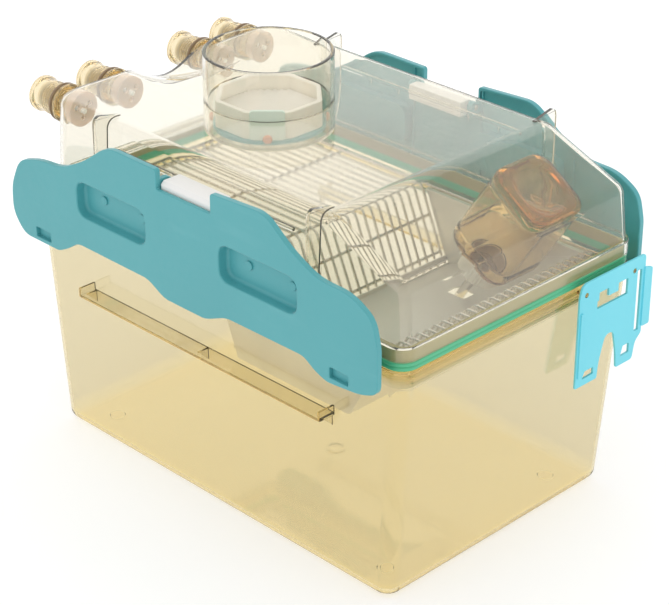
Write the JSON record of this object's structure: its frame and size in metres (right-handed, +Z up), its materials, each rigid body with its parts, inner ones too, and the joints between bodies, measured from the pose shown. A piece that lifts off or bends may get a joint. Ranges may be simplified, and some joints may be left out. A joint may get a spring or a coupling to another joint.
{
  "type": "ventilated rodent cage",
  "caption": "Clear rodent cage with wire lid, feed hopper, leaning water bottle, raised ventilated top with round filter collar and air valves, and hinged side latches.",
  "frame": {"origin": "under the middle of the assembly, on the surface that the foot pads stand on", "axes": "+Z up, +Y along the length towards the air valves at the rear, +X to the side with the water bottle"},
  "size_m": [0.306, 0.4614, 0.348],
  "materials": {
    "amber_plastic": "clear amber, moulded, glossy",
    "clear_amber_plastic": "clear pale amber, moulded, glossy",
    "bottle_plastic": "clear amber, blown, glossy",
    "valve_plastic": "clear amber, moulded, glossy",
    "gasket_rubber": "satin green silicone",
    "seal_rubber": "satin",
    "teal_plastic": "fine moulded satin",
    "cyan_plastic": "smooth satin",
    "white_plastic": "smooth satin",
    "cream_plastic": "smooth satin",
    "orange_plastic": "smooth glossy",
    "filter_fabric": "non-woven pleated paper",
    "stainless_steel": "electropolished"
  },
  "bodies": {
    "base": {"base_tub": "amber_plastic", "rim_gasket": "gasket_rubber"},
    "wire_lid": {"wire_lid": "stainless_steel", "hopper_pan": "stainless_steel"},
    "bottle": {"bottle_body": "bottle_plastic", "bottle_cap": "stainless_steel", "bottle_seal": "seal_rubber", "sipper_tube": "stainless_steel"},
    "lid": {"lid_shell": "clear_amber_plastic", "filter_seat": "teal_plastic", "filter_stud_1": "orange_plastic", "filter_stud_2": "orange_plastic", "filter_stud_3": "orange_plastic", "filter_stud_4": "orange_plastic", "valve_body_1": "valve_plastic", "valve_ring_1": "seal_rubber", "valve_retainer_1": "valve_plastic", "valve_spring_1": "stainless_steel", "valve_body_2": "valve_plastic", "valve_ring_2": "seal_rubber", "valve_retainer_2": "valve_plastic", "valve_spring_2": "stainless_steel", "valve_body_3": "valve_plastic", "valve_ring_3": "seal_rubber", "valve_retainer_3": "valve_plastic", "valve_spring_3": "stainless_steel", "valve_body_4": "valve_plastic", "valve_ring_4": "seal_rubber", "valve_retainer_4": "valve_plastic", "valve_spring_4": "stainless_steel", "hinge_block_right": "white_plastic", "hinge_block_left": "white_plastic", "hinge_pin_right": "stainless_steel", "hinge_pin_left": "stainless_steel"},
    "filter": {"filter_housing": "cream_plastic", "filter_media": "filter_fabric", "filter_clip": "teal_plastic"},
    "latch_right": {"latch_right": "teal_plastic"},
    "latch_left": {"latch_left": "teal_plastic"},
    "poppet_1": {"valve_poppet_1": "cream_plastic"},
    "poppet_2": {"valve_poppet_2": "cream_plastic"},
    "poppet_3": {"valve_poppet_3": "cream_plastic"},
    "poppet_4": {"valve_poppet_4": "cream_plastic"},
    "card": {"card_holder": "cyan_plastic"}
  },
  "joints": [
    {"name": "lid_lift", "type": "slide", "parent": "base", "child": "lid", "axis": [0, 0, 1], "range_m": [0, 0.2]},
    {"name": "wire_lid_lift", "type": "slide", "parent": "base", "child": "wire_lid", "axis": [0, 0, 1], "range_m": [0, 0.1]},
    {"name": "bottle_lift", "type": "slide", "parent": "wire_lid", "child": "bottle", "axis": [0, -0.5534, 0.8329], "range_m": [0, 0.06]},
    {"name": "filter_lift", "type": "slide", "parent": "lid", "child": "filter", "axis": [0, 0, 1], "range_m": [0, 0.08]},
    {"name": "latch_right_swing", "type": "hinge", "parent": "lid", "child": "latch_right", "pos_m": [0.141, -0.0063, 0.285], "axis": [0, -1, 0], "range_deg": [0, 60]},
    {"name": "latch_left_swing", "type": "hinge", "parent": "lid", "child": "latch_left", "pos_m": [-0.141, -0.0063, 0.285], "axis": [0, 1, 0], "range_deg": [0, 60]},
    {"name": "valve_press_1", "type": "slide", "parent": "lid", "child": "poppet_1", "axis": [0, -1, 0], "range_m": [0, 0.005], "stiffness_N_per_m": 300, "deforming": ["valve_spring_1"]},
    {"name": "valve_press_2", "type": "slide", "parent": "lid", "child": "poppet_2", "axis": [0, -1, 0], "range_m": [0, 0.005], "stiffness_N_per_m": 300, "deforming": ["valve_spring_2"]},
    {"name": "valve_press_3", "type": "slide", "parent": "lid", "child": "poppet_3", "axis": [0, -1, 0], "range_m": [0, 0.005], "stiffness_N_per_m": 300, "deforming": ["valve_spring_3"]},
    {"name": "valve_press_4", "type": "slide", "parent": "lid", "child": "poppet_4", "axis": [0, -1, 0], "range_m": [0, 0.005], "stiffness_N_per_m": 300, "deforming": ["valve_spring_4"]},
    {"name": "card_holder_pull", "type": "slide", "parent": "base", "child": "card", "axis": [0, -1, 0], "range_m": [0, 0.03]}
  ],
  "couplings": [
    {"joint": "wire_lid_lift", "follows": "lid_lift", "ratio": 0.5},
    {"joint": "bottle_lift", "follows": "lid_lift", "ratio": 0.3}
  ]
}
